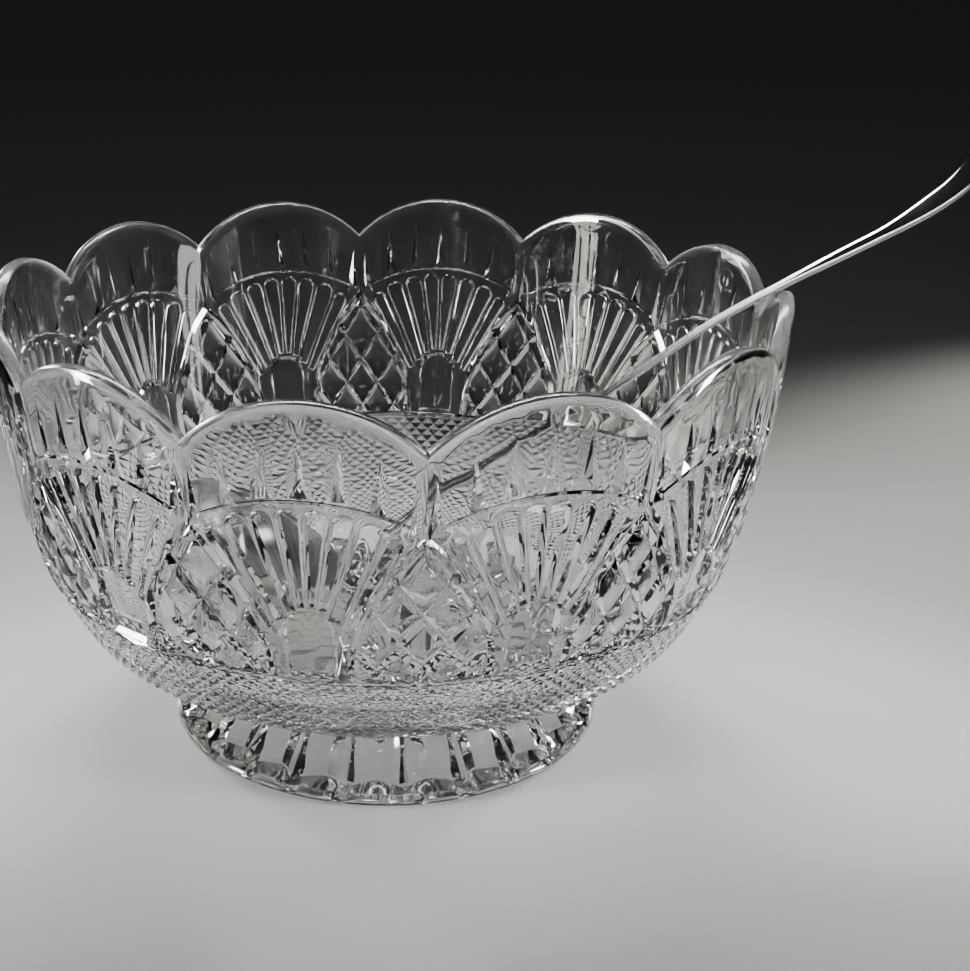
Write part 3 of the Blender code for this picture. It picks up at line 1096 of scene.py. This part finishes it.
def build_cup(path):
    lip_centre, axis, outward = cup_frame(path)
    side = Vector((0.0, 1.0, 0.0))
    turns = [math.tau * index / CUP_STEPS for index in range(CUP_STEPS)]
    rings = []
    for radius, height in cup_profile():
        rings.append([lip_centre + axis * height + outward * (radius * math.cos(turn))
                      + side * (radius * math.sin(turn)) for turn in turns])
    points, faces = grid_rings(rings)
    last_ring = (len(rings) - 1) * CUP_STEPS
    for first, height in ((0, -CUP_DEPTH), (last_ring, CUP_WALL - CUP_DEPTH)):
        hub = len(points)
        points.append(lip_centre + axis * height)
        faces += [(first + index, first + (index + 1) % CUP_STEPS, hub) for index in range(CUP_STEPS)]
    cup = mesh_piece("ladle_cup_drawn", points, faces, steel_material("cup_steel", 0.10, 0.24),
                     STEEL_CREASE)
    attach(cup, "ladle")
    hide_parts("ladle_cup")


def steel_material(name, smoothest, roughest):
    """Polished stainless steel with fine wiping marks, faint clouding and soft finger smears."""
    material = bpy.data.materials.new(name)
    material.use_nodes = True
    nodes, links = material.node_tree.nodes, material.node_tree.links
    shader = nodes["Principled BSDF"]
    shader.inputs["Metallic"].default_value = 1.0
    place = nodes.new("ShaderNodeTexCoord")
    stretch = nodes.new("ShaderNodeMapping")
    stretch.inputs["Rotation"].default_value = (0.0, math.radians(33.0), 0.0)
    stretch.inputs["Scale"].default_value = (40.0, 1400.0, 1400.0)
    grain = noise_node(nodes, 1.0, 3.0)
    smear = noise_node(nodes, 60.0, 4.0)
    mixed = multiply_add_node(nodes, 0.4)
    rough = range_node(nodes, (0.45, 0.95), (smoothest, roughest))
    tone = tone_node(nodes, (0.3, (0.66, 0.66, 0.65)), (0.7, (0.82, 0.82, 0.81)))
    bump = nodes.new("ShaderNodeBump")
    bump.inputs["Strength"].default_value = 0.04
    bump.inputs["Distance"].default_value = 0.0002
    links.new(place.outputs["Object"], stretch.inputs["Vector"])
    links.new(place.outputs["Object"], smear.inputs["Vector"])
    links.new(stretch.outputs["Vector"], grain.inputs["Vector"])
    links.new(grain.outputs["Fac"], mixed.inputs[0])
    links.new(smear.outputs["Fac"], mixed.inputs[2])
    links.new(mixed.outputs["Value"], rough.inputs["Value"])
    links.new(rough.outputs["Result"], shader.inputs["Roughness"])
    links.new(smear.outputs["Fac"], tone.inputs["Fac"])
    links.new(tone.outputs["Color"], shader.inputs["Base Color"])
    links.new(grain.outputs["Fac"], bump.inputs["Height"])
    links.new(bump.outputs["Normal"], shader.inputs["Normal"])
    return material


# --- Floor, light and camera -----------------------------------------------------------

FLOOR_HALF = 6.0
FLOOR_DROP = 0.0004
FLOOR_COLOUR = (0.62, 0.62, 0.61, 1.0)
WORLD_COLOUR = (0.014, 0.014, 0.016, 1.0)
COOL = (0.93, 0.97, 1.0)
NEUTRAL = (1.0, 1.0, 1.0)
WARM = (1.0, 0.97, 0.91)
EYE_DISTANCE = 3.967 * RIM_RADIUS
EYE_HEIGHT = 2.185 * RIM_RADIUS
EYE_TURN = math.radians(4.888)
EYE_DOWN = math.radians(21.57)
SENSOR_WIDTH = 36.0
LENS = 60.06
FRAME_SHIFT = 0.1019


def build_floor():
    corners = [(x * FLOOR_HALF, y * FLOOR_HALF, 0.0) for x, y in ((-1, -1), (1, -1), (1, 1), (-1, 1))]
    mesh = bpy.data.meshes.new("floor")
    mesh.from_pydata(corners, [], [(0, 1, 2, 3)])
    material = bpy.data.materials.new("floor_pale")
    material.use_nodes = True
    shader = material.node_tree.nodes["Principled BSDF"]
    shader.inputs["Base Color"].default_value = FLOOR_COLOUR
    shader.inputs["Roughness"].default_value = 0.6
    mesh.materials.append(material)
    floor = bpy.data.objects.new("floor", mesh)
    floor.location = (0.0, 0.0, -FLOOR_DROP)
    bpy.context.scene.collection.objects.link(floor)


def area_light(name, place, aim, size, power, spread, colour):
    """Soft rectangular lamp at a place in metres, turned to an aim; power in watts, spread in degrees."""
    light = bpy.data.lights.new(name, "AREA")
    light.color = colour
    light.spread = math.radians(spread)
    light.shape = "RECTANGLE"
    light.size, light.size_y = size
    light.energy = power
    lamp = bpy.data.objects.new(name, light)
    lamp.location = place
    lamp.rotation_euler = (Vector(aim) - Vector(place)).to_track_quat("-Z", "Y").to_euler()
    bpy.context.scene.collection.objects.link(lamp)


def build_lights():
    """Floor light in front, and boxes behind and beside the bowl that brighten its cut edges."""
    world = bpy.data.worlds.new("studio")
    world.use_nodes = True
    world.node_tree.nodes["Background"].inputs["Color"].default_value = WORLD_COLOUR
    bpy.context.scene.world = world
    rim = (0.0, 0.0, 0.20)
    floor_in_front = (0.02, -0.14, 0.0)
    under_bowl = (0.0, 0.0, 0.0)
    area_light("key_box", (0.04, -0.36, 0.46), floor_in_front, (0.30, 0.18), 0.26, 125.0, NEUTRAL)
    area_light("top_fill", (0.0, 0.10, 1.50), under_bowl, (1.20, 1.20), 0.5, 180.0, NEUTRAL)
    area_light("back_left_box", (-0.42, 0.62, 0.22), rim, (0.09, 0.32), 1.3, 44.0, COOL)
    area_light("back_right_box", (0.66, 0.56, 0.22), rim, (0.09, 0.32), 1.4, 44.0, WARM)
    area_light("back_top_strip", (0.0, 0.46, 0.72), rim, (0.80, 0.07), 1.3, 60.0, NEUTRAL)
    area_light("left_box", (-0.60, -0.10, 0.20), rim, (0.08, 0.32), 1.4, 42.0, WARM)
    area_light("right_box", (0.64, -0.20, 0.20), rim, (0.08, 0.32), 1.5, 42.0, COOL)


def build_camera():
    """Eye and lens that give the bowl the outline it has in its picture."""
    data = bpy.data.cameras.new("camera")
    data.sensor_width = SENSOR_WIDTH
    data.lens = LENS
    data.shift_x = FRAME_SHIFT
    camera = bpy.data.objects.new("camera", data)
    camera.location = (-EYE_DISTANCE * math.sin(EYE_TURN), -EYE_DISTANCE * math.cos(EYE_TURN), EYE_HEIGHT)
    camera.rotation_euler = (math.pi / 2.0 - EYE_DOWN, 0.0, -EYE_TURN)
    bpy.context.scene.collection.objects.link(camera)
    bpy.context.scene.camera = camera


build_camera()
build_floor()
build_lights()
build_bowl()
ladle_path = handle_path()
build_handle(ladle_path)
build_cup(ladle_path)
